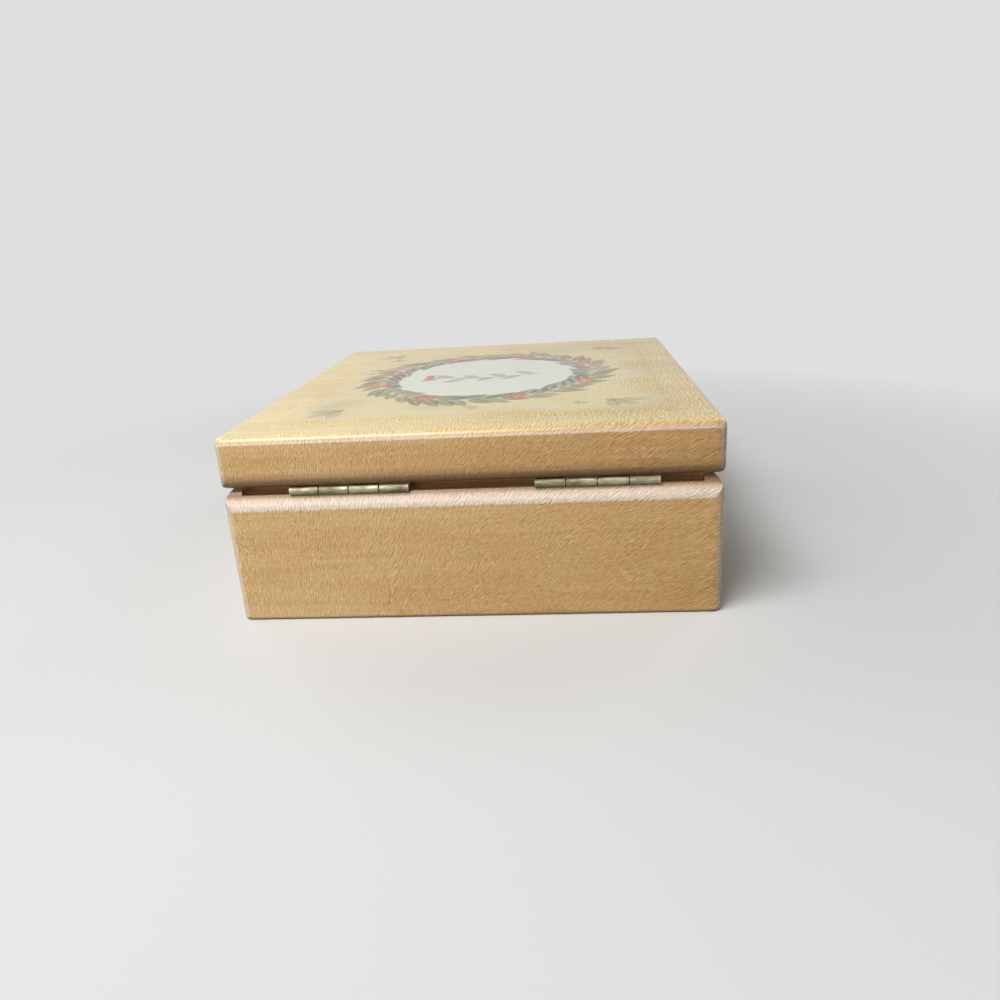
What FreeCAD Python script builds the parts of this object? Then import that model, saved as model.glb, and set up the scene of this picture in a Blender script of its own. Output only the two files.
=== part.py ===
import FreeCAD, Part
import math
import os

# Trinket box: a mitred hardwood base, a thick hinged lid with a printed film on top, two small brass hinges.
# Millimetres, +Z up, origin at the middle of the underside.
# The front faces -Y and the hinges are at the back, +Y.
# Left and right are as seen from the front, so left is -X.

# Whole box
box_width = 124.0
box_depth = 137.5
corner_radius = 2.3
joint_gap = 0.1

# Base: four mitred walls round a loose bottom panel
base_height = 36.0
wall_thickness = 10.0
foot_round = 1.0
panel_thickness = 4.0
panel_height = 4.0
panel_tongue = 4.0
panel_clearance = 0.1

# Lid: one board with a shallow recess below
lid_thickness = 13.4
lid_top_round = 2.0
lid_recess = 5.0

# Rounds on the outer edges at the joint. They open it into a groove all round the box.
base_round_depth = 2.6
base_round_height = 5.7
lid_joint_round = 2.8

# Printed film on the lid
film_margin = 10.5
film_thickness = 0.2
film_corner = 2.0

# Felt linings
floor_felt_thickness = 2.0
lid_felt_thickness = 1.5
felt_clearance = 0.3

# Hinges: knuckles rolled from the leaf's own sheet round a plain pin.
# A hinge's inset runs from the box's end to the hinge's middle.
hinge_length = 30.0
left_hinge_inset = 30.4
right_hinge_inset = 32.6
axis_inset = 1.2
relief_inset = 5.0
leaf_thickness = 0.6
leaf_gap = 0.6
leaf_reach = 7.2
leaf_corner = 1.0
leaf_clearance = 0.1
knuckle_count = 4
knuckle_gap = 0.35
knuckle_clearance = 0.1
pin_radius = 0.45
pin_clearance = 0.05

# Countersunk screws, two in each leaf
screw_spacing = 18.0
screw_reach = 4.4
screw_length = 7.0
screw_tip = 2.0
screw_radius = 0.8
screw_head_radius = 1.7
screw_head_height = 0.9
screw_seat = 0.02
slot_width = 0.4
slot_depth = 0.3

# Places worked out from the sizes above
half_width = box_width / 2
half_depth = box_depth / 2
inner_half_width = half_width - wall_thickness
inner_half_depth = half_depth - wall_thickness
panel_top = panel_height + panel_thickness
lid_bottom = base_height + joint_gap
lid_top = lid_bottom + lid_thickness
recess_top = lid_bottom + lid_recess
axis_y = half_depth - axis_inset
axis_z = lid_bottom - leaf_thickness - leaf_gap / 2
knuckle_radius = pin_radius + leaf_thickness
barrel_seat_radius = knuckle_radius + knuckle_clearance
leaf_root_y = axis_y - barrel_seat_radius
leaf_end_y = axis_y - leaf_reach
knuckle_length = (hinge_length - (knuckle_count - 1) * knuckle_gap) / knuckle_count
hinge_places = {"left": left_hinge_inset - half_width, "right": half_width - right_hinge_inset}
cut_margin = 5.0
same_height = 1e-6

# Each side: from the middle out to its face, half its length, and its turn from the back about the Z axis
sides = {
    "front": (half_depth, half_width, 180),
    "back": (half_depth, half_width, 0),
    "left": (half_width, half_depth, 90),
    "right": (half_width, half_depth, -90),
}

X_AXIS = FreeCAD.Vector(1, 0, 0)
Z_AXIS = FreeCAD.Vector(0, 0, 1)
ORIGIN = FreeCAD.Vector(0, 0, 0)


def block(x_range, y_range, z_range):
    """A plain box between two limits on each axis."""
    (x0, x1), (y0, y1), (z0, z1) = x_range, y_range, z_range
    return Part.makeBox(x1 - x0, y1 - y0, z1 - z0, FreeCAD.Vector(x0, y0, z0))


def centred_block(half_x, half_y, z_range):
    """A plain box centred on the Z axis."""
    return block((-half_x, half_x), (-half_y, half_y), z_range)


def upright_edges(shape):
    """The edges that run along Z."""
    return [edge for edge in shape.Edges if abs(edge.tangentAt(edge.FirstParameter).z) > 0.5]


def level_edges(shape, height):
    """The edges that lie in one horizontal plane."""
    return [
        edge
        for edge in shape.Edges
        if abs(edge.BoundBox.ZMin - height) < same_height and abs(edge.BoundBox.ZMax - height) < same_height
    ]


def rounded_block(half_x, half_y, z_range, radius):
    """A centred box with rounded upright corners."""
    plain = centred_block(half_x, half_y, z_range)
    return plain.makeFillet(radius, upright_edges(plain))


def edge_stock(side, joint_height, rise, depth, height):
    """The stock that a round takes off one outer edge. The rise is 1 above the joint and -1 below it."""
    face, half_run, turn = sides[side]
    radius = (depth ** 2 + height ** 2) / (2 * depth)
    half_sweep = math.asin(height / radius) / 2

    def place(inset, above):
        return FreeCAD.Vector(-half_run - cut_margin, face - inset, joint_height + rise * above)

    on_face = place(0.0, height)
    on_arc = place(radius * (1 - math.cos(half_sweep)), height - radius * math.sin(half_sweep))
    on_joint = place(depth, 0.0)
    outside = [place(depth, -cut_margin), place(-cut_margin, -cut_margin), place(-cut_margin, height)]
    arc = Part.Arc(on_face, on_arc, on_joint).toShape()
    rest = Part.makePolygon([on_joint] + outside + [on_face])
    section = Part.Face(Part.Wire([arc] + rest.Edges))
    stock = section.extrude(X_AXIS * 2 * (half_run + cut_margin))
    stock.rotate(ORIGIN, Z_AXIS, turn)
    return stock


def screw(seat=0.0, slotted=True):
    """A countersunk screw pointing down, its head flush with z = 0. A seat widens it into its hole."""
    profile = [
        FreeCAD.Vector(0, 0, 0),
        FreeCAD.Vector(screw_head_radius + seat, 0, 0),
        FreeCAD.Vector(screw_radius + seat, 0, -screw_head_height - seat),
        FreeCAD.Vector(screw_radius + seat, 0, screw_tip - screw_length),
        FreeCAD.Vector(0, 0, -screw_length - seat),
        FreeCAD.Vector(0, 0, 0),
    ]
    body = Part.Face(Part.makePolygon(profile)).revolve(ORIGIN, Z_AXIS, 360)
    if slotted:
        slot = centred_block(screw_head_radius + cut_margin, slot_width / 2, (-slot_depth, cut_margin))
        body = body.cut(slot)
    return body


def screw_group(points_up, seat=0.0, slotted=True):
    """One screw shape at each screw place of both hinges, pointing up into the lid or down into the base."""
    side = 1 if points_up else -1
    head_height = axis_z + side * leaf_gap / 2
    shapes = []
    for hinge_x in hinge_places.values():
        for offset in (-screw_spacing / 2, screw_spacing / 2):
            shape = screw(seat, slotted)
            if points_up:
                shape.rotate(ORIGIN, X_AXIS, 180)
            shape.translate(FreeCAD.Vector(hinge_x + offset, axis_y - screw_reach, head_height))
            shapes.append(shape)
    return shapes


def hinge_relief():
    """The low stretch of the back rim that makes room for the leaves of both hinges."""
    half_length = half_width - relief_inset
    depths = (leaf_end_y - leaf_clearance, half_depth + cut_margin)
    floor = axis_z - leaf_gap / 2 - leaf_thickness
    return block((-half_length, half_length), depths, (floor, base_height + cut_margin))


def barrel_seats():
    """The shallow troughs under both barrels."""
    half_length = hinge_length / 2 + leaf_clearance
    spans = [(hinge_x - half_length, hinge_x + half_length) for hinge_x in hinge_places.values()]
    return [axis_cylinder(span, barrel_seat_radius) for span in spans]


def base_frame():
    """All four walls as one ring, before the mitres part them."""
    body = rounded_block(half_width, half_depth, (0.0, base_height), corner_radius)
    body = body.makeFillet(min(foot_round, corner_radius), level_edges(body, 0.0))
    rounds = [edge_stock(side, base_height, -1, base_round_depth, base_round_height) for side in sides]
    cavity = centred_block(inner_half_width, inner_half_depth, (-cut_margin, base_height + cut_margin))
    groove = centred_block(
        inner_half_width + panel_tongue + panel_clearance,
        inner_half_depth + panel_tongue + panel_clearance,
        (panel_height, panel_top),
    )
    holes = screw_group(points_up=False, seat=screw_seat, slotted=False)
    return body.cut(rounds + [cavity, groove, hinge_relief()] + barrel_seats() + holes)


def mitre_sector(side):
    """The stretch of the ring that one wall takes, cut at 45 degrees from the outer to the inner corners."""
    face, half_run, turn = sides[side]
    inset = wall_thickness + cut_margin
    outer_y, outer_x = face + cut_margin, half_run + cut_margin
    inner_y, inner_x = face - inset, half_run - inset
    corners = [(-outer_x, outer_y), (outer_x, outer_y), (inner_x, inner_y), (-inner_x, inner_y)]
    points = [FreeCAD.Vector(x, y, -cut_margin) for x, y in corners]
    outline = Part.Face(Part.makePolygon(points + points[:1]))
    sector = outline.extrude(Z_AXIS * (base_height + 2 * cut_margin))
    sector.rotate(ORIGIN, Z_AXIS, turn)
    return sector


def base_walls():
    """The four mitred walls."""
    ring = base_frame()
    return {f"base_{side}_wall": ring.common(mitre_sector(side)) for side in sides}


def bottom_panel():
    """The panel whose edges run in the walls' groove."""
    half_x, half_y = inner_half_width + panel_tongue, inner_half_depth + panel_tongue
    return centred_block(half_x, half_y, (panel_height, panel_top))


def lid_board():
    """The lid, rounded above and below and hollowed out a little over the base."""
    body = rounded_block(half_width, half_depth, (lid_bottom, lid_top), corner_radius)
    body = body.makeFillet(min(lid_top_round, 0.9 * corner_radius), level_edges(body, lid_top))
    rounds = [edge_stock(side, lid_bottom, 1, lid_joint_round, lid_joint_round) for side in sides]
    recess = centred_block(inner_half_width, inner_half_depth, (lid_bottom - cut_margin, recess_top))
    holes = screw_group(points_up=True, seat=screw_seat, slotted=False)
    return body.cut(rounds + [recess] + holes)


def lid_film():
    """The thin printed film on the lid's top."""
    heights = (lid_top, lid_top + film_thickness)
    return rounded_block(half_width - film_margin, half_depth - film_margin, heights, film_corner)


def felt(z_low, thickness):
    """A felt lining cut to the inside of the box, a little clear of the walls."""
    heights = (z_low, z_low + thickness)
    return centred_block(inner_half_width - felt_clearance, inner_half_depth - felt_clearance, heights)


def axis_cylinder(x_range, radius):
    """A cylinder on the hinge axis."""
    start = FreeCAD.Vector(x_range[0], axis_y, axis_z)
    return Part.makeCylinder(radius, x_range[1] - x_range[0], start, X_AXIS)


def hinge_leaf(hinge_x, side, first_knuckle, bore_radius):
    """A leaf with every second knuckle. Its side is 1 for the lid, above the axis, and -1 for the base."""
    inner_face = axis_z + side * leaf_gap / 2
    outer_face = inner_face + side * leaf_thickness
    heights = (min(inner_face, outer_face), max(inner_face, outer_face))
    start = hinge_x - hinge_length / 2
    plate = block((start, start + hinge_length), (leaf_end_y, leaf_root_y), heights)
    far_corners = [edge for edge in upright_edges(plate) if edge.BoundBox.YMax < leaf_root_y - same_height]
    leaf = plate.makeFillet(leaf_corner, far_corners)
    bores = []
    for index in range(first_knuckle, knuckle_count, 2):
        x0 = start + index * (knuckle_length + knuckle_gap)
        span = (x0, x0 + knuckle_length)
        tongue = block(span, (leaf_root_y, axis_y), heights)
        leaf = leaf.fuse([tongue, axis_cylinder(span, knuckle_radius)])
        bores.append(axis_cylinder(span, bore_radius))
    holes = screw_group(points_up=side > 0, seat=screw_seat, slotted=False)
    return leaf.cut(bores + holes).removeSplitter()


def hinge_pin(hinge_x):
    """The pin, as long as the knuckles and fixed in those of the base leaf."""
    return axis_cylinder((hinge_x - hinge_length / 2, hinge_x + hinge_length / 2), pin_radius)


def hinges():
    """Both hinges, three pieces each."""
    pieces = {}
    for name, hinge_x in hinge_places.items():
        pieces[f"{name}_hinge_base_leaf"] = hinge_leaf(hinge_x, -1, 0, pin_radius)
        pieces[f"{name}_hinge_lid_leaf"] = hinge_leaf(hinge_x, 1, 1, pin_radius + pin_clearance)
        pieces[f"{name}_hinge_pin"] = hinge_pin(hinge_x)
    return pieces


def all_pieces():
    """Every piece by its name."""
    pieces = base_walls()
    pieces["base_bottom_panel"] = bottom_panel()
    pieces["floor_felt"] = felt(panel_top, floor_felt_thickness)
    pieces["lid_board"] = lid_board()
    pieces["lid_film"] = lid_film()
    pieces["lid_felt"] = felt(recess_top - lid_felt_thickness, lid_felt_thickness)
    pieces.update(hinges())
    pieces["hinge_screws_base"] = Part.makeCompound(screw_group(points_up=False))
    pieces["hinge_screws_lid"] = Part.makeCompound(screw_group(points_up=True))
    return pieces


os.makedirs("parts", exist_ok=True)
for node, shape in all_pieces().items():
    shape.exportStep(f"parts/{node}.step")
    print(f"{node}: {len(shape.Solids)} solid(s), {shape.Volume:.1f} mm3, valid {shape.isValid()}")
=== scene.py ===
import math

import bpy
import numpy as np
from mathutils import Euler, Matrix, Vector


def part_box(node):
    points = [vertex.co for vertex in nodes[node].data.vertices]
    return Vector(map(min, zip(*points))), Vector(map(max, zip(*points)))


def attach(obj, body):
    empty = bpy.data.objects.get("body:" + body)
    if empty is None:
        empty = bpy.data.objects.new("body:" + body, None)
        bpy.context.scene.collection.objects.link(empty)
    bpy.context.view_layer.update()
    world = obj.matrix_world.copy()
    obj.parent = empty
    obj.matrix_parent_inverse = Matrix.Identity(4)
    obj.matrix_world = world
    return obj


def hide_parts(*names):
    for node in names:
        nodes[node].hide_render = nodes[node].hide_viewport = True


# Trinket box: lacquered pale hardwood, a printed film on the lid, felt linings and small brass hinges.
# Metres in the frame of the solids: +Z up, and the hinged back faces +Y.

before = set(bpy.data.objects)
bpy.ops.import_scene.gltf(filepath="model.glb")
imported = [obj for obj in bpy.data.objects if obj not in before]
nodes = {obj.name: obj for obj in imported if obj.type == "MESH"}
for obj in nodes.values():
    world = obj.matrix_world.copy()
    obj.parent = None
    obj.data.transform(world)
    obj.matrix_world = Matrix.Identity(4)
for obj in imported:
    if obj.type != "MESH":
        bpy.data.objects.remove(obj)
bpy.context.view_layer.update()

MM = 0.001


def srgb(red, green, blue):
    """A colour given as screen values from 0 to 255, as linear red, green, blue and alpha."""
    parts = [value / 255 for value in (red, green, blue)]
    linear = [p / 12.92 if p <= 0.04045 else ((p + 0.055) / 1.055) ** 2.4 for p in parts]
    return (*linear, 1.0)


# Camera, placed where the box was photographed from, with its angles in degrees
camera_place = (-24.5 * MM, 247.15 * MM, 94.45 * MM)
camera_heading = 185.3
camera_tilt_down = 19.34
camera_roll = -3.54
camera_lens_mm = 28.08
camera_clip_start = 10 * MM

# Studio light: softboxes by their azimuth from the hinged side towards +X and their elevation, in degrees
aim_height = 35 * MM
softboxes = [
    dict(name="key_softbox", azimuth=36, elevation=57, distance=0.7, size=(0.4, 0.3), radiance=15.2),
    dict(name="low_softbox", azimuth=12, elevation=9, distance=0.9, size=(0.7, 0.2), radiance=5.6),
    dict(name="left_rim_softbox", azimuth=-125, elevation=30, distance=1.0, size=(0.5, 0.4), radiance=3.2),
    dict(name="right_rim_softbox", azimuth=125, elevation=30, distance=1.0, size=(0.5, 0.4), radiance=3.2),
]

# Surround: the strength of the light that it gives, and how bright it looks
white = (1.0, 1.0, 1.0, 1.0)
ambient_strength = 0.05
backdrop_strength = 0.74

# Floor: its colours as seen and as it throws light back, and the distances over which it fades out
floor_size = 8.0
floor_drop = 0.05 * MM
floor_fade = (0.11, 0.3)
floor_mottle = (0.5, 0.5, 0.5)
floor_shades = [(0.3, srgb(198, 198, 197)), (0.7, srgb(202, 202, 201))]
floor_bounce = srgb(70, 69, 67)

# Fibre flecks in the wood: how far along a board, then their slope from the grain in degrees and their length
fleck_fan = [
    (-60 * MM, 27, 1.7 * MM),
    (-40 * MM, 34, 1.6 * MM),
    (-20 * MM, 43, 1.4 * MM),
    (0, 53, 1.3 * MM),
    (20 * MM, 65, 1.1 * MM),
    (40 * MM, 80, 1.0 * MM),
    (60 * MM, 92, 0.9 * MM),
]
stroke_spacing = 0.6 * MM
stroke_share = 0.7
fibre_width = 0.15 * MM
fibre_share = 0.6
fibre_contrast = (0.36, 0.64)

# How many radians a wave texture of scale 1 turns in one unit
wave_rate = 20.0

# End grain: the size of its pores, and how squarely a face is cut across the board, from none to full
pore_size = (0.3 * MM, 0.3 * MM, 0.3 * MM)
cut_across = (0.5, 0.8)

# Figure of the wood: each layer's size along the grain, across it and upwards, then its share of the tone;
# one layer is painted light, a tone that rises from one end of each board to the other
board_half_length = 62 * MM
band_size = (90 * MM, 12 * MM, 6 * MM)
cloud_size = (30 * MM, 30 * MM, 18 * MM)
line_size = (22 * MM, 0.7 * MM, 0.5 * MM)
grain_size = (1.0 * MM, 1.0 * MM, 0.8 * MM)
figure_shares = {
    "bands": 0.3,
    "clouds": 0.14,
    "lines": 0.2,
    "painted_light_falloff": 0.18,
    "flecks": 0.36,
    "grain": 0.2,
    "shade": 1.0,
}

# Wood colours from dark to light, on the sides and on the lid's top, and the span of facing up between them;
# the lid's top colours are paler, painted light where it faces up
side_shades = [(0.12, srgb(152, 110, 56)), (0.5, srgb(206, 165, 106)), (0.88, srgb(242, 211, 162))]
painted_light_top_shades = [(0.24, srgb(168, 143, 87)), (0.5, srgb(206, 184, 127)), (0.76, srgb(236, 217, 168))]
painted_light_facing_up = (0.6, 0.98)

# Bottom panel, with its grain along Y
panel_shades = [(0.25, srgb(196, 164, 116)), (0.5, srgb(214, 186, 138)), (0.8, srgb(228, 204, 160))]
panel_band = (6 * MM, 120 * MM, 10 * MM)
panel_line = (0.6 * MM, 20 * MM, 0.6 * MM)
panel_relief = 0.06 * MM

# The lid's board is a shade darker than the middle one, a painted shade for less light on the lid, and its
# figure is cut from another part of the wood
middle_shade = 0.5
lid_painted_shade = 0.42
lid_shift = 0.3

# Painted highlight in pale streaks on the lacquer: how far on the base's and the lid's upper edges and on the
# upright corners
edge_highlight_colour = srgb(236, 229, 224)
base_edge_highlight = 0.9
lid_edge_highlight = 0.55
corner_highlight = 0.5

# Painted highlight on upper edges, by how far they face up: the lower and the upper limit, each from none to
# full
highlight_sets_in = (0.04, 0.1)
highlight_fades_out = (0.75, 0.2)
highlight_fray = 0.06
corner_turn = (0.02, 0.15)

# Streaks in the painted highlight: a span of fleck values, then the share of highlight at its two ends
highlight_streaks = (0.1, 0.9, 0.3, 1.0)

# Relief of the lacquer over the flecks, and how far sharp edges of the wood are eased
lacquer_relief = 0.02 * MM
lacquer_relief_strength = 0.2
wood_edge_ease = 0.3 * MM

# Painted shade in the joint between the base and the lid: how far below and above it, and how far in from the
# outside, each from none to full
joint_shade_below = (3.0 * MM, 1.8 * MM)
joint_shade_above = (4.6 * MM, 1.2 * MM)
joint_shade_depth = (3.2 * MM, 2.4 * MM)
joint_shade_colour = srgb(84, 44, 20)
joint_shade_cover = 0.72

# Nicks in the back wall: place, slope in degrees, and half length and half width
nicks = [
    {"x": -24.8 * MM, "z": 20.0 * MM, "slope": 40, "size": (1.1 * MM, 0.16 * MM)},
    {"x": -1.8 * MM, "z": 5.2 * MM, "slope": 35, "size": (0.8 * MM, 0.13 * MM)},
    {"x": -56.8 * MM, "z": 9.8 * MM, "slope": 25, "size": (0.9 * MM, 0.13 * MM)},
]
nick_depth = 1.0 * MM
nick_fade = (1.0, 0.4)
nick_colour = srgb(246, 226, 186)
nick_cover = 0.7

# Brass from dull to bright, and where its edges are rubbed
hinge_shades = [(0.3, srgb(106, 96, 72)), (0.7, srgb(170, 165, 138))]
screw_shades = [(0.3, srgb(160, 132, 80)), (0.7, srgb(214, 186, 122))]
rubbed_brass = srgb(208, 203, 180)
brass_patch = (5 * MM, 2.5 * MM, 2.5 * MM)
hinge_brush = (4 * MM, 0.2 * MM, 0.2 * MM)
screw_brush = (0.6 * MM, 0.6 * MM, 0.6 * MM)
brass_relief = 0.02 * MM
brass_edge_ease = 0.12 * MM
brass_rub_reach = 0.2 * MM
brass_rub_cover = 0.5

# Film on the lid
print_step = 0.4 * MM
film_edge = 1.8 * MM
film_corner = 2.0 * MM
film_dot = (0.3 * MM, 0.3 * MM, 0.3 * MM)
film_wave = (12 * MM, 12 * MM, 12 * MM)
film_relief = 0.1 * MM

# Felt linings
felt_step = 2.0 * MM
felt_edge_round = 0.7 * MM
felt_ripple = 0.08 * MM
felt_waves = (7 * MM, 9 * MM)
felt_clear = 0.05 * MM
felt_shades = [(0.25, srgb(44, 70, 56)), (0.5, srgb(62, 94, 76)), (0.8, srgb(96, 128, 106))]
felt_mottle = (6 * MM, 6 * MM, 6 * MM)
felt_fibre = (0.5 * MM, 0.5 * MM, 0.5 * MM)
felt_relief = 0.25 * MM

# Inks, as screen colours
cream = srgb(198, 202, 192)
straw = srgb(200, 184, 126)
gold = srgb(206, 176, 92)
slate = srgb(70, 61, 65)
mauve = srgb(114, 96, 98)
moss = srgb(98, 99, 58)
fern = srgb(56, 66, 42)
berry_red = srgb(182, 50, 38)

# Leaves and berries of the print, in mm
print_seed = 5
leaf_length = 11.5
leaf_width = 4.2
leaf_blur = 0.35
leaf_rib_width = 0.28
berry_radius = 1.5
berry_blur = 0.3
berry_strength = 0.85

# Ground: its fade from the film's edge in mm, and the thin blots of colour on it
ground_strength = 0.6
ground_fade = (1.0, 12.0)
wash_blots = 90
wash_spread = 0.85
blot_radius = (5.0, 11.0)
blot_strength = (0.12, 0.3)
blot_flatness = 1.4

# Wreath round a pale oval, in mm, with its leaves green from one line towards the hinges
wreath_radii = (33.0, 36.0)
wreath_leaves = 46
wreath_green_from = 4.0
oval_strength = 0.95
oval_edge = (1.06, 0.94)

# Bunches of berries on the wreath: one at every so many leaves, from the first on
bunch_every = 6
bunch_first = 2
bunch_radius = 2.0

# Sprig across the oval, sprigs in the corners and small ones strewn clear of the wreath, lengths in mm
sprig_length = 34.0
sprig_bow = 4.0
sprig_leaves = 8
stem_edge = (0.5, 0.2)
corner_inset = 15.0
corner_berry_strength = 0.7
scattered_sprigs = 30
scatter_spread = 0.88
scatter_clear = 1.25
scatter_fan = 0.45


def soft_step(low, high, value):
    """0 up to low and 1 from high on, with a smooth rise between. Low may be the greater of the two."""
    share = np.clip((value - low) / (high - low), 0.0, 1.0)
    return share * share * (3.0 - 2.0 * share)


class Shader:
    """A material being built, with short forms for its nodes."""

    bevel_samples = 6

    def __init__(self, name):
        self.material = bpy.data.materials.new(name)
        self.material.use_nodes = True
        self.tree = self.material.node_tree
        self.surface = self.tree.nodes["Principled BSDF"]

    def feed(self, socket, value):
        """Links a socket to another one, or sets it to a constant."""
        if isinstance(value, bpy.types.NodeSocket):
            self.tree.links.new(value, socket)
        else:
            socket.default_value = value

    def finish(self, **inputs):
        """Feeds the surface's sockets, named with _ for a space, and gives the material back."""
        for name, value in inputs.items():
            self.feed(self.surface.inputs[name.replace("_", " ")], value)
        return self.material

    def node(self, kind, inputs, **settings):
        """Adds one node with its settings and its inputs."""
        made = self.tree.nodes.new("ShaderNode" + kind)
        for name, value in settings.items():
            setattr(made, name, value)
        for name, value in inputs.items():
            self.feed(made.inputs[name], value)
        return made

    def place(self):
        """The point on the piece, which moves with it."""
        return self.node("TexCoord", {}).outputs["Object"]

    def normal(self):
        """The way that the surface faces, in the piece's own axes."""
        return self.node("TexCoord", {}).outputs["Normal"]

    def stretched(self, place, size=(1.0, 1.0, 1.0), turn=(0.0, 0.0, 0.0), offset=(0.0, 0.0, 0.0)):
        """The place in units of a feature's size, along the feature's own turned axes."""
        turn = tuple(math.radians(angle) for angle in turn)
        inputs = {"Vector": place, "Scale": size, "Rotation": turn, "Location": offset}
        return self.node("Mapping", inputs, vector_type="TEXTURE").outputs["Vector"]

    def noise(self, place, detail=2.0, roughness=0.5, distortion=0.0):
        """Smooth noise with features about one unit apart."""
        inputs = {
            "Vector": place,
            "Scale": 1.0,
            "Detail": detail,
            "Roughness": roughness,
            "Distortion": distortion,
        }
        return self.node("TexNoise", inputs).outputs["Fac"]

    def hatch(self, place):
        """Broken strokes along X, about one unit apart along Z."""
        inputs = {
            "Vector": place,
            "Scale": 2 * math.pi / wave_rate,
            "Distortion": 12.0,
            "Detail": 2.0,
            "Detail Scale": 1.0,
        }
        return self.node("TexWave", inputs, bands_direction="Z").outputs["Fac"]

    def span(self, value, low, high, out_low=0.0, out_high=1.0):
        """Carries a value from one span to another and holds it at both ends."""
        inputs = {"Value": value, "From Min": low, "From Max": high, "To Min": out_low, "To Max": out_high}
        return self.node("MapRange", inputs, clamp=True).outputs["Result"]

    def combine(self, operation, first, second):
        """One sum, product or other operation on two values."""
        return self.node("Math", {0: first, 1: second}, operation=operation).outputs["Value"]

    def weighted(self, *terms):
        """The middle value 0.5 with each term's departure from 0.5 added by its weight."""
        total = 0.5 - 0.5 * sum(weight for _, weight in terms)
        for value, weight in terms:
            total = self.combine("ADD", self.combine("MULTIPLY", value, weight), total)
        return total

    def between(self, share, first, second):
        """Two values mixed."""
        return self.node("Mix", {0: share, 2: first, 3: second}, data_type="FLOAT").outputs[0]

    def mix(self, share, first, second):
        """Two colours mixed."""
        return self.node("Mix", {0: share, 6: first, 7: second}, data_type="RGBA").outputs[2]

    def axis(self, vector, name):
        """One part of a vector."""
        return self.node("SeparateXYZ", {"Vector": vector}).outputs[name]

    def length(self, vector):
        """How long a vector is."""
        return self.node("VectorMath", {0: vector}, operation="LENGTH").outputs["Value"]

    def ramp(self, value, stops):
        """A colour read off a row of stops."""
        made = self.node("ValToRGB", {"Fac": value})
        elements = made.color_ramp.elements
        while len(elements) < len(stops):
            elements.new(0.5)
        for element, (position, colour) in zip(elements, stops):
            element.position = position
            element.color = colour
        return made.outputs["Color"]

    def eased_normal(self, radius):
        """The normal with the piece's sharp edges eased by a radius."""
        return self.node("Bevel", {"Radius": radius}, samples=self.bevel_samples).outputs["Normal"]

    def bump(self, height, distance, strength=1.0, edge_round=0.0):
        """A normal bent by a height, with the piece's sharp edges eased where a radius is given."""
        inputs = {"Height": height, "Distance": distance, "Strength": strength}
        if edge_round:
            inputs["Normal"] = self.eased_normal(edge_round)
        return self.node("Bump", inputs).outputs["Normal"]

    def edge_mask(self, radius):
        """1 on the piece's edges and 0 on its flats."""
        pair = {0: self.eased_normal(radius), 1: self.node("NewGeometry", {}).outputs["Normal"]}
        likeness = self.node("VectorMath", pair, operation="DOT_PRODUCT").outputs["Value"]
        return self.span(likeness, 0.995, 0.93)


def wood_flecks(shader, place):
    """Fine fibre flecks whose slope turns from one end of a board to the other."""
    along = shader.axis(place, "X")
    flecks = None
    last_x = None
    for x, slope, length in fleck_fan:
        turn = (0, slope, 0)
        strokes = shader.hatch(shader.stretched(place, (length, length, stroke_spacing), turn))
        fibres = shader.noise(shader.stretched(place, (length, length, fibre_width), turn), detail=0.0)
        fibres = shader.span(fibres, *fibre_contrast)
        layer = shader.weighted((strokes, stroke_share), (fibres, fibre_share))
        flecks = layer if flecks is None else shader.between(shader.span(along, last_x, x), flecks, layer)
        last_x = x
    return flecks


def end_grain(shader, place, flecks, grain_turn):
    """The flecks, with fine pores in their place where a board is cut across."""
    facing = shader.axis(shader.stretched(shader.normal(), turn=(0, 0, grain_turn)), "X")
    share = shader.span(shader.combine("MULTIPLY", facing, facing), *cut_across)
    pores = shader.noise(shader.stretched(place, pore_size), detail=1.0)
    return shader.between(share, flecks, pores)


def wood_figure(shader, grain_turn, shift, shade):
    """Tone and flecks of fine pale hardwood whose grain runs along X, turned about Z by degrees, with painted
    light lightening the tone towards one end of the board.
    """
    place = shader.stretched(shader.place(), turn=(0, 0, grain_turn), offset=(0, shift, shift))
    flecks = end_grain(shader, place, wood_flecks(shader, place), grain_turn)
    layers = {
        "bands": shader.noise(shader.stretched(place, band_size), detail=3.0, distortion=0.7),
        "clouds": shader.noise(shader.stretched(place, cloud_size), detail=2.0),
        "lines": shader.noise(shader.stretched(place, line_size), detail=3.0, roughness=0.6),
        # painted light: the tone rises along the board, lighter towards one end
        "painted_light_falloff": shader.span(shader.axis(place, "X"), -board_half_length, board_half_length),
        "flecks": flecks,
        "grain": shader.noise(shader.stretched(place, grain_size), detail=2.0, roughness=0.8),
        "shade": shade,
    }
    tone = shader.weighted(*((value, figure_shares[name]) for name, value in layers.items()))
    return tone, flecks


def nick_mask(shader):
    """1 in the small nicks of the back wall."""
    back_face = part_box("base_back_wall")[1].y
    total = 0.0
    for nick in nicks:
        half_length, half_width = nick["size"]
        size = (half_length, nick_depth, half_width)
        centre = (nick["x"], back_face, nick["z"])
        place = shader.stretched(shader.place(), size, turn=(0, nick["slope"], 0), offset=centre)
        total = shader.combine("ADD", shader.span(shader.length(place), *nick_fade), total)
    return total


def painted_joint_shade(shader):
    """1 where shade is painted in the joint between the base and the lid, round the box's outside."""
    low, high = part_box("lid_board")
    place = shader.place()
    outer = shader.node("VectorMath", {0: place}, operation="ABSOLUTE").outputs["Vector"]
    into_x = shader.combine("SUBTRACT", high.x, shader.axis(outer, "X"))
    into_y = shader.combine("SUBTRACT", high.y, shader.axis(outer, "Y"))
    near_outside = shader.span(shader.combine("MINIMUM", into_x, into_y), *joint_shade_depth)
    height = shader.axis(place, "Z")
    below = shader.span(height, *(low.z - reach for reach in joint_shade_below))
    above = shader.span(height, *(low.z + reach for reach in joint_shade_above))
    return shader.combine("MULTIPLY", near_outside, shader.combine("MINIMUM", below, above))


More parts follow.
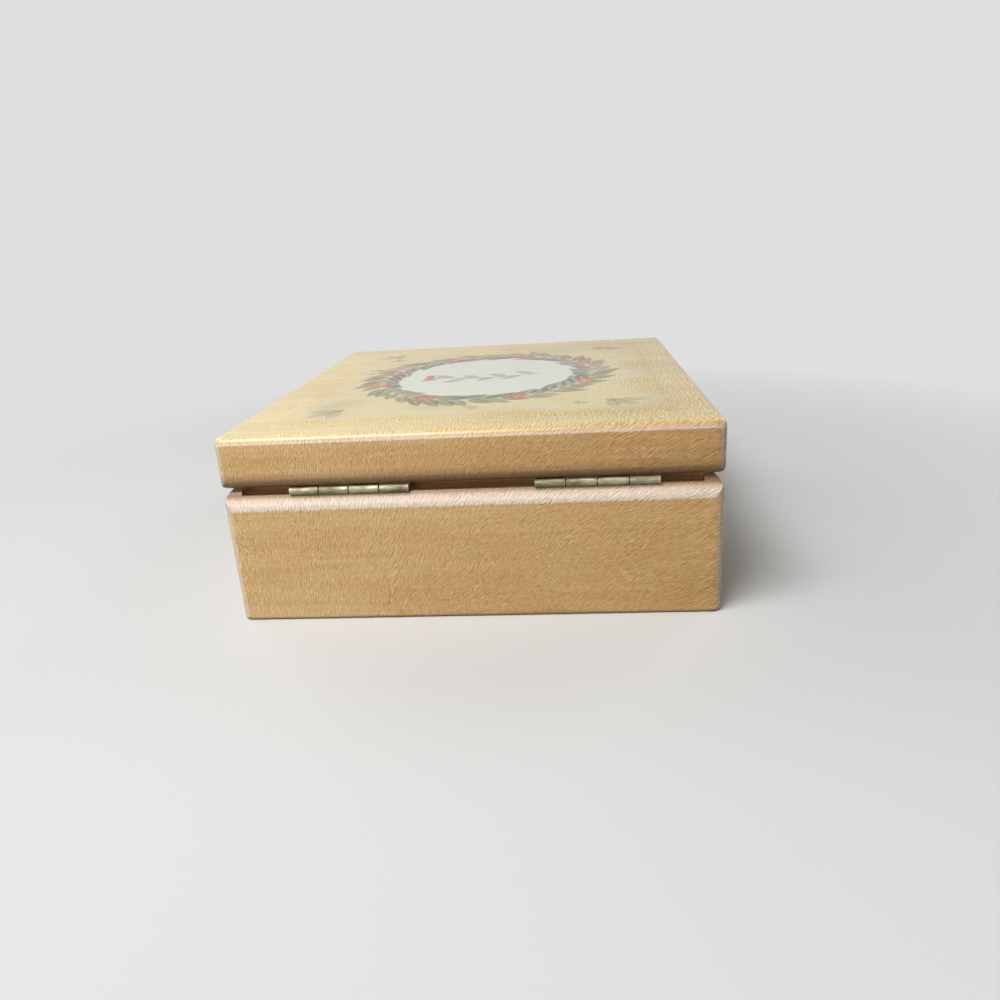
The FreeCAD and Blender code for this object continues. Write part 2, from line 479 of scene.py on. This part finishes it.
def painted_edge_highlight(shader, normal, flecks, highlight_share):
    """How strongly a highlight is painted, in pale streaks, on rounded upper edges and upright corners."""
    rise = shader.weighted((shader.axis(normal, "Z"), 1.0), (flecks, highlight_fray))
    on_edge = shader.combine("MINIMUM", shader.span(rise, *highlight_sets_in), shader.span(rise, *highlight_fades_out))
    edge = shader.combine("MULTIPLY", on_edge, highlight_share)
    both_ways = shader.combine("MULTIPLY", shader.axis(normal, "X"), shader.axis(normal, "Y"))
    on_corner = shader.span(shader.combine("MULTIPLY", both_ways, both_ways), *corner_turn)
    corner = shader.combine("MULTIPLY", on_corner, corner_highlight)
    streaks = shader.span(flecks, *highlight_streaks)
    return shader.combine("MULTIPLY", shader.combine("MAXIMUM", edge, corner), streaks)


def lacquered_wood(name, grain_turn, shift=0.0, shade=middle_shade, highlight_share=base_edge_highlight, painted_light_up_shades=side_shades):
    """Satin-lacquered hardwood with nicks, with a highlight painted in pale streaks along its edges and shade
    painted in the joint.
    """
    shader = Shader(name)
    tone, flecks = wood_figure(shader, grain_turn, shift, shade)
    normal = shader.normal()
    # painted light: the lid's top takes paler colours where it faces up
    painted_light_upward = shader.span(shader.axis(normal, "Z"), *painted_light_facing_up)
    nicked = shader.combine("MULTIPLY", nick_mask(shader), nick_cover)
    joint_shaded = shader.combine("MULTIPLY", painted_joint_shade(shader), joint_shade_cover)
    colour = shader.mix(painted_light_upward, shader.ramp(tone, side_shades), shader.ramp(tone, painted_light_up_shades))
    # painted highlight: pale streaks on rounded upper edges and upright corners
    colour = shader.mix(painted_edge_highlight(shader, normal, flecks, highlight_share), colour, edge_highlight_colour)
    colour = shader.mix(nicked, colour, nick_colour)
    # painted shade: the joint between the base and the lid is darkened
    colour = shader.mix(joint_shaded, colour, joint_shade_colour)
    relief = shader.bump(flecks, lacquer_relief, lacquer_relief_strength, wood_edge_ease)
    return shader.finish(
        Base_Color=colour,
        Roughness=shader.span(flecks, 0.0, 1.0, 0.34, 0.46),
        Normal=relief,
        Specular_IOR_Level=0.3,
        Coat_Weight=0.6,
        Coat_Roughness=0.25,
        Coat_Normal=relief,
    )


def panel_wood():
    """A plain sanded panel with broad straight grain."""
    shader = Shader("sanded_panel")
    place = shader.place()
    bands = shader.noise(shader.stretched(place, panel_band), detail=4.0, distortion=1.2)
    lines = shader.noise(shader.stretched(place, panel_line), detail=3.0)
    tone = shader.weighted((bands, 0.9), (lines, 0.5))
    return shader.finish(
        Base_Color=shader.ramp(tone, panel_shades),
        Roughness=shader.span(lines, 0.3, 0.7, 0.6, 0.75),
        Normal=shader.bump(lines, panel_relief, 0.5),
    )


def printed_film():
    """Print on a clear film, with the wood's own figure where no ink lies, under a thin lacquer."""
    shader = Shader("printed_film")
    # painted shade: the film's bare wood takes the lid's darker tone
    tone, flecks = wood_figure(shader, 0.0, lid_shift, lid_painted_shade)
    # painted light: the bare wood takes the top's paler colours
    wood = shader.ramp(tone, painted_light_top_shades)
    ink = shader.node("Attribute", {}, attribute_name="print")
    dots = shader.noise(shader.stretched(shader.place(), film_dot), detail=1.0)
    printed = shader.mix(shader.span(dots, 0.3, 0.7, 0.0, 0.15), ink.outputs["Color"], wood)
    waves = shader.noise(shader.stretched(shader.place(), film_wave), detail=2.0)
    height = shader.weighted((flecks, 0.06), (waves, 0.8))
    return shader.finish(
        Base_Color=shader.mix(ink.outputs["Alpha"], wood, printed),
        Roughness=shader.span(dots, 0.3, 0.7, 0.36, 0.46),
        Normal=shader.bump(height, film_relief, 0.5),
        Specular_IOR_Level=0.3,
        Coat_Weight=0.3,
        Coat_Roughness=0.22,
    )


def brass(name, shades, brush_size):
    """Worn brass, dulled in patches, brushed, and rubbed along its edges."""
    shader = Shader(name)
    place = shader.place()
    patches = shader.noise(shader.stretched(place, brass_patch), detail=4.0, roughness=0.65)
    brushed = shader.noise(shader.stretched(place, brush_size), detail=2.0)
    tone = shader.weighted((patches, 1.1), (brushed, 0.4))
    rubbed = shader.combine("MULTIPLY", shader.edge_mask(brass_rub_reach), brass_rub_cover)
    return shader.finish(
        Base_Color=shader.mix(rubbed, shader.ramp(tone, shades), rubbed_brass),
        Metallic=1.0,
        Roughness=shader.span(tone, 0.3, 0.7, 0.66, 0.52),
        Normal=shader.bump(brushed, brass_relief, 0.5, brass_edge_ease),
    )


def felt_cloth():
    """Short-pile wool felt of matted fibres."""
    shader = Shader("wool_felt")
    place = shader.place()
    mottle = shader.noise(shader.stretched(place, felt_mottle), detail=3.0)
    fibres = shader.noise(shader.stretched(place, felt_fibre), detail=5.0, roughness=0.7, distortion=2.5)
    tone = shader.weighted((mottle, 0.6), (fibres, 0.9))
    return shader.finish(
        Base_Color=shader.ramp(tone, felt_shades),
        Roughness=shader.span(fibres, 0.3, 0.7, 0.9, 1.0),
        Normal=shader.bump(fibres, felt_relief, 0.8),
        Sheen_Weight=0.4,
        Sheen_Roughness=0.5,
    )


class Print:
    """The film's painted design, as a colour and an ink cover at each of its points, with lengths in mm."""

    def __init__(self, points):
        self.x = points[:, 0] / MM
        self.y = points[:, 1] / MM
        self.colour = np.tile(np.array(cream), (len(points), 1))[:, :3]
        self.cover = np.zeros(len(points))

    def lay(self, colour, share):
        """Paints a colour over what is there."""
        share = np.clip(share, 0.0, 1.0)
        self.colour += (np.array(colour[:3]) - self.colour) * share[:, None]
        self.cover = 1.0 - (1.0 - self.cover) * (1.0 - share)

    def turned(self, x, y, angle):
        """The points along and across a stroke that starts at a place and runs at an angle."""
        dx, dy = self.x - x, self.y - y
        return dx * math.cos(angle) + dy * math.sin(angle), dy * math.cos(angle) - dx * math.sin(angle)

    def leaf(self, x, y, angle, length, width, colour, strength):
        """A pointed leaf with a paler midrib, inked more strongly towards its tip."""
        along, across = self.turned(x, y, angle)
        share = np.clip(along / length, 0.0, 1.0)
        half = 0.5 * width * np.sin(math.pi * share**0.8)
        inside = soft_step(leaf_blur, -leaf_blur, np.abs(across) - half) * (half > 0.05)
        rib = 1.0 - 0.45 * np.exp(-((across / leaf_rib_width) ** 2))
        self.lay(colour, strength * inside * rib * (0.75 + 0.25 * share))

    def berry(self, x, y, strength=berry_strength):
        """A round red berry with a small pale spot off its middle."""
        away = np.hypot(self.x - x, self.y - y)
        self.lay(berry_red, strength * soft_step(berry_radius + berry_blur, berry_radius - berry_blur, away))
        off = 0.3 * berry_radius
        from_spot = np.hypot(self.x - x - off, self.y - y + off)
        self.lay(cream, 0.6 * soft_step(0.45 * berry_radius, 0.1 * berry_radius, from_spot))


def edge_wobble(design):
    """A slow waver, in mm, that keeps painted outlines from running dead straight."""
    return 2.0 * np.sin(design.x * 0.21 + 1.0) + 2.0 * np.sin(design.y * 0.17 + 0.4)


def paint_ground(design, half_width, half_depth):
    """A straw wash that fades out before the film's edge."""
    to_edge = np.minimum(half_width - np.abs(design.x), half_depth - np.abs(design.y))
    design.lay(straw, ground_strength * soft_step(*ground_fade, to_edge + edge_wobble(design)))


def paint_oval(design):
    """The pale oval in the wreath."""
    oval = np.hypot(design.x / wreath_radii[0], design.y / wreath_radii[1])
    ripple = 0.03 * np.sin(7.0 * np.arctan2(design.y, design.x)) + 0.01 * edge_wobble(design)
    design.lay(cream, oval_strength * soft_step(*oval_edge, oval + ripple))


def paint_wash(design, chance, half_width, half_depth):
    """Soft blots of thin colour over the ground, greyer towards the front and greener towards the hinges."""
    for _ in range(wash_blots):
        x = chance.uniform(-wash_spread, wash_spread) * half_width
        y = chance.uniform(-wash_spread, wash_spread) * half_depth
        inks = (mauve, straw, gold) if y < 0.0 else (gold, straw, moss)
        ink = inks[int(chance.uniform(0, len(inks)))]
        away = np.hypot(design.x - x, (design.y - y) * blot_flatness) / chance.uniform(*blot_radius)
        design.lay(ink, chance.uniform(*blot_strength) * np.exp(-(away**2)))


def paint_scatter(design, chance, half_width, half_depth):
    """Small sprigs of two thin leaves, strewn between the wreath and the film's edge."""
    for _ in range(scattered_sprigs):
        x = chance.uniform(-scatter_spread, scatter_spread) * half_width
        y = chance.uniform(-scatter_spread, scatter_spread) * half_depth
        angle = chance.uniform(0.0, 2.0 * math.pi)
        inks = (slate, mauve) if y < 0.0 else (fern, moss)
        if math.hypot(x / wreath_radii[0], y / wreath_radii[1]) > scatter_clear:
            for fan, ink in zip((-scatter_fan, scatter_fan), inks):
                design.leaf(x, y, angle + fan, 0.45 * leaf_length, 0.4 * leaf_width, ink, 0.7)


def paint_sprig(design, chance):
    """A slender sprig lying across the oval, with alternate leaves along its stem and berries at its tip."""
    along = (design.x + 0.5 * sprig_length) / sprig_length
    on_stem = (along > 0.0) & (along < 1.0)
    across = design.y - sprig_bow * np.sin(math.pi * np.clip(along, 0.0, 1.0))
    design.lay(slate, 0.75 * on_stem * soft_step(*stem_edge, np.abs(across)))
    for index in range(sprig_leaves):
        share = (index + 0.5) / sprig_leaves
        x, y = (share - 0.5) * sprig_length, sprig_bow * math.sin(math.pi * share)
        side = 1 if index % 2 else -1
        length = leaf_length * chance.uniform(0.6, 0.85)
        design.leaf(x, y, side * 0.75, length, 0.8 * leaf_width, (mauve, moss)[index % 2], 0.7)
    for spot in (-1, 0, 1):
        design.berry(0.5 * sprig_length + 1.6, 2.4 * spot)


def paint_berry_bunch(design, x, y, turn):
    """Three berries round a place."""
    for spot in range(3):
        angle = turn + 2.1 * spot
        design.berry(x + bunch_radius * math.cos(angle), y + bunch_radius * math.sin(angle))


def paint_wreath(design, chance):
    """Leaves in pairs round an oval, slate at the front and green at the back, with berries between."""
    radius_x, radius_y = wreath_radii
    for index in range(wreath_leaves):
        turn = 2.0 * math.pi * index / wreath_leaves
        x, y = radius_x * math.cos(turn), radius_y * math.sin(turn)
        tangent = math.atan2(radius_y * math.cos(turn), -radius_x * math.sin(turn))
        inks = (slate, mauve) if y < wreath_green_from else (fern, moss)
        for side, spread in ((1, 0.62), (-1, 0.72)):
            angle = tangent + side * (spread + chance.uniform(-0.15, 0.15))
            length = leaf_length * chance.uniform(0.75, 1.15)
            ink = inks[int(chance.uniform(0, len(inks)))]
            design.leaf(x, y, angle, length, leaf_width, ink, chance.uniform(0.8, 1.0))
        if index % bunch_every == bunch_first:
            paint_berry_bunch(design, x, y, turn)


def paint_corners(design, chance, half_width, half_depth):
    """A small three-leaf sprig in each corner."""
    for side_x in (-1, 1):
        for side_y in (-1, 1):
            x, y = side_x * (half_width - corner_inset), side_y * (half_depth - corner_inset)
            outward = math.atan2(side_y, side_x)
            ink = mauve if side_y < 0 else moss
            for fan in (-0.7, 0.0, 0.7):
                length = leaf_length * chance.uniform(0.8, 1.0)
                design.leaf(x, y, outward + fan, length, 0.9 * leaf_width, ink, 0.6)
            design.berry(x, y, corner_berry_strength)


def grid_faces(columns, rows):
    """The four-sided faces of a grid whose points run row by row."""
    first = (np.arange(rows - 1)[:, None] * columns + np.arange(columns - 1)).ravel()
    return np.stack([first, first + 1, first + columns + 1, first + columns], axis=1)


def closed_sheet_faces(columns, rows):
    """The faces of a front grid, of a back grid whose points come after it, and of the strip round both."""
    count = columns * rows
    front = grid_faces(columns, rows)
    rim = np.concatenate(
        [
            np.arange(columns),
            np.arange(1, rows) * columns + columns - 1,
            np.arange(columns - 2, -1, -1) + (rows - 1) * columns,
            np.arange(rows - 2, 0, -1) * columns,
        ]
    )
    following = np.roll(rim, -1)
    strip = np.stack([rim, rim + count, following + count, following], axis=1)
    return np.concatenate([front, front[:, ::-1] + count, strip])


def new_piece(name, points, faces, material, body, node):
    """A smooth mesh that stands for a node and rides on its body."""
    mesh = bpy.data.meshes.new(name)
    mesh.from_pydata(points.tolist(), [], faces.tolist())
    mesh.materials.append(material)
    mesh.polygons.foreach_set("use_smooth", [True] * len(mesh.polygons))
    piece = bpy.data.objects.new(name, mesh)
    bpy.context.scene.collection.objects.link(piece)
    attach(piece, body)
    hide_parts(node)
    return piece


def film_points(low, high):
    """A fine grid over the film, drawn in at its round corners and turned down to the lid along its edge."""
    middle = (low + high) / 2
    half = (high - low) / 2
    columns = round(2 * half.x / print_step) + 1
    rows = round(2 * half.y / print_step) + 1
    x, y = np.meshgrid(np.linspace(-half.x, half.x, columns), np.linspace(-half.y, half.y, rows))
    beyond_x = np.maximum(np.abs(x) - half.x + film_corner, 0.0)
    beyond_y = np.maximum(np.abs(y) - half.y + film_corner, 0.0)
    reach = np.maximum(beyond_x, beyond_y)
    draw_in = np.where(reach > 0, reach / np.maximum(np.hypot(beyond_x, beyond_y), 1e-9), 1.0)
    x -= np.sign(x) * beyond_x * (1.0 - draw_in)
    y -= np.sign(y) * beyond_y * (1.0 - draw_in)
    z = low.z + (high.z - low.z) * np.sqrt(soft_step(0.0, film_edge, film_corner - reach))
    points = np.stack([x + middle.x, y + middle.y, z], axis=-1).reshape(-1, 3)
    return points, grid_faces(columns, rows), half


def lid_print():
    """The printed film on the lid."""
    low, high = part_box("lid_film")
    points, faces, half = film_points(low, high)
    half_width, half_depth = half.x / MM, half.y / MM
    design = Print(points)
    chance = np.random.default_rng(print_seed)
    paint_ground(design, half_width, half_depth)
    paint_wash(design, chance, half_width, half_depth)
    paint_oval(design)
    paint_sprig(design, chance)
    paint_scatter(design, chance, half_width, half_depth)
    paint_corners(design, chance, half_width, half_depth)
    paint_wreath(design, chance)
    piece = new_piece("lid_print", points, faces, printed_film(), "lid", "lid_film")
    ink = piece.data.attributes.new("print", "FLOAT_COLOR", "POINT")
    ink.data.foreach_set("color", np.column_stack([design.colour, design.cover]).astype(np.float32).ravel())


def felt_lining(name, node, body, shows_up, material):
    """A felt lining with eased edges and a slightly uneven face, glued to the board behind it."""
    low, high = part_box(node)
    columns = round((high.x - low.x) / felt_step) + 1
    rows = round((high.y - low.y) / felt_step) + 1
    x, y = np.meshgrid(np.linspace(low.x, high.x, columns), np.linspace(low.y, high.y, rows))
    to_edge = np.minimum.reduce([x - low.x, high.x - x, y - low.y, high.y - y])
    drop = felt_edge_round * (1.0 - np.sqrt(soft_step(0.0, 3 * felt_edge_round, to_edge)))
    ripple = felt_ripple * (1.0 + np.sin(x / felt_waves[0]) * np.cos(y / felt_waves[1]))
    face = (high.z - drop - ripple) if shows_up else (low.z + drop + ripple)
    back = np.full_like(x, low.z + felt_clear if shows_up else high.z - felt_clear)
    points = np.concatenate([np.stack([x, y, z], axis=-1).reshape(-1, 3) for z in (face, back)])
    faces = closed_sheet_faces(columns, rows)
    if not shows_up:
        faces = faces[:, ::-1]
    piece = new_piece(name, points, faces, material, body, node)


def dress(names, material):
    """Gives nodes that stay as they are their material."""
    for name in names:
        nodes[name].material_slots[0].material = material


def dress_box():
    """Materials for every node that shows as it is, and the pieces that stand for the film and the felt."""
    along_x = lacquered_wood("wall_wood_along_x", 0.0)
    along_y = lacquered_wood("wall_wood_along_y", 90.0)
    # painted shade: the lid's wood is toned darker than the base's
    lid_wood = lacquered_wood("lid_wood", 0.0, lid_shift, lid_painted_shade, lid_edge_highlight, painted_light_up_shades=painted_light_top_shades)
    hinge_brass = brass("hinge_brass", hinge_shades, hinge_brush)
    screw_brass = brass("screw_brass", screw_shades, screw_brush)
    felt = felt_cloth()
    hinge_parts = ("base_leaf", "lid_leaf", "pin")
    dress(["base_front_wall", "base_back_wall"], along_x)
    dress(["lid_board"], lid_wood)
    dress(["base_left_wall", "base_right_wall"], along_y)
    dress(["base_bottom_panel"], panel_wood())
    for side in ("left", "right"):
        dress([f"{side}_hinge_{part}" for part in hinge_parts], hinge_brass)
    dress(["hinge_screws_base", "hinge_screws_lid"], screw_brass)
    lid_print()
    felt_lining("floor_lining", "floor_felt", "base", True, felt)
    felt_lining("lid_lining", "lid_felt", "lid", False, felt)


def softbox(name, azimuth, elevation, distance, size, radiance):
    """A rectangular lamp turned towards the box. Its power follows from how bright its face looks."""
    light = bpy.data.lights.new(name, "AREA")
    light.shape = "RECTANGLE"
    light.size, light.size_y = size
    light.energy = radiance * math.pi * size[0] * size[1]
    lamp = bpy.data.objects.new(name, light)
    a, e = math.radians(azimuth), math.radians(elevation)
    outward = Vector((math.sin(a) * math.cos(e), math.cos(a) * math.cos(e), math.sin(e)))
    lamp.location = outward * distance + Vector((0, 0, aim_height))
    lamp.rotation_euler = outward.to_track_quat("Z", "Y").to_euler()
    lamp.visible_camera = False
    bpy.context.scene.collection.objects.link(lamp)


def looked_at(tree):
    """1 for rays that look at a surface, straight, mirrored or through glass, and 0 for gathered light."""
    path = tree.nodes.new("ShaderNodeLightPath")
    total = path.outputs["Is Camera Ray"]
    for ray in ("Is Glossy Ray", "Is Transmission Ray"):
        either = tree.nodes.new("ShaderNodeMath")
        either.operation = "MAXIMUM"
        tree.links.new(total, either.inputs[0])
        tree.links.new(path.outputs[ray], either.inputs[1])
        total = either.outputs["Value"]
    return total


def pale_world():
    """An even pale surround: one brightness for what sees it, a lower one for the light that it gives."""
    world = bpy.data.worlds.new("surround")
    world.use_nodes = True
    tree = world.node_tree
    background = tree.nodes["Background"]
    strength = tree.nodes.new("ShaderNodeMapRange")
    strength.inputs["To Min"].default_value = ambient_strength
    strength.inputs["To Max"].default_value = backdrop_strength
    tree.links.new(looked_at(tree), strength.inputs["Value"])
    tree.links.new(strength.outputs["Result"], background.inputs["Strength"])
    background.inputs["Color"].default_value = white
    bpy.context.scene.world = world


def pale_floor_material():
    """Pale and plain round the box, and as bright as the surround further out."""
    shader = Shader("pale_floor")
    seen = looked_at(shader.tree)
    mottle = shader.noise(shader.stretched(shader.place(), floor_mottle), detail=2.0)
    pale = shader.ramp(mottle, floor_shades)
    far = shader.node("Emission", {"Color": white})
    shader.feed(far.inputs["Strength"], shader.span(seen, 0.0, 1.0, ambient_strength, backdrop_strength))
    share = shader.span(shader.length(shader.place()), *floor_fade)
    both = {0: share, 1: shader.surface.outputs["BSDF"], 2: far.outputs["Emission"]}
    joined = shader.node("MixShader", both).outputs["Shader"]
    shader.feed(shader.tree.nodes["Material Output"].inputs["Surface"], joined)
    return shader.finish(Base_Color=shader.mix(seen, floor_bounce, pale), Roughness=0.8)


def pale_floor():
    """A plain pale floor that takes the box's shadow."""
    bpy.ops.mesh.primitive_plane_add(size=floor_size, location=(0, 0, -floor_drop))
    floor = bpy.context.object
    floor.name = "floor"
    floor.data.materials.append(pale_floor_material())


def photo_camera():
    """The camera at the photograph's viewing angle."""
    data = bpy.data.cameras.new("camera")
    data.lens = camera_lens_mm
    camera = bpy.data.objects.new("camera", data)
    bpy.context.scene.collection.objects.link(camera)
    facing = Euler((math.radians(90 - camera_tilt_down), 0, math.radians(camera_heading))).to_matrix()
    roll = Matrix.Rotation(math.radians(camera_roll), 3, "Z")
    camera.matrix_world = Matrix.Translation(camera_place) @ (facing @ roll).to_4x4()
    data.clip_start = camera_clip_start
    bpy.context.scene.camera = camera


dress_box()
pale_floor()
pale_world()
for box in softboxes:
    softbox(**box)
photo_camera()
bpy.context.scene.view_settings.view_transform = "Standard"
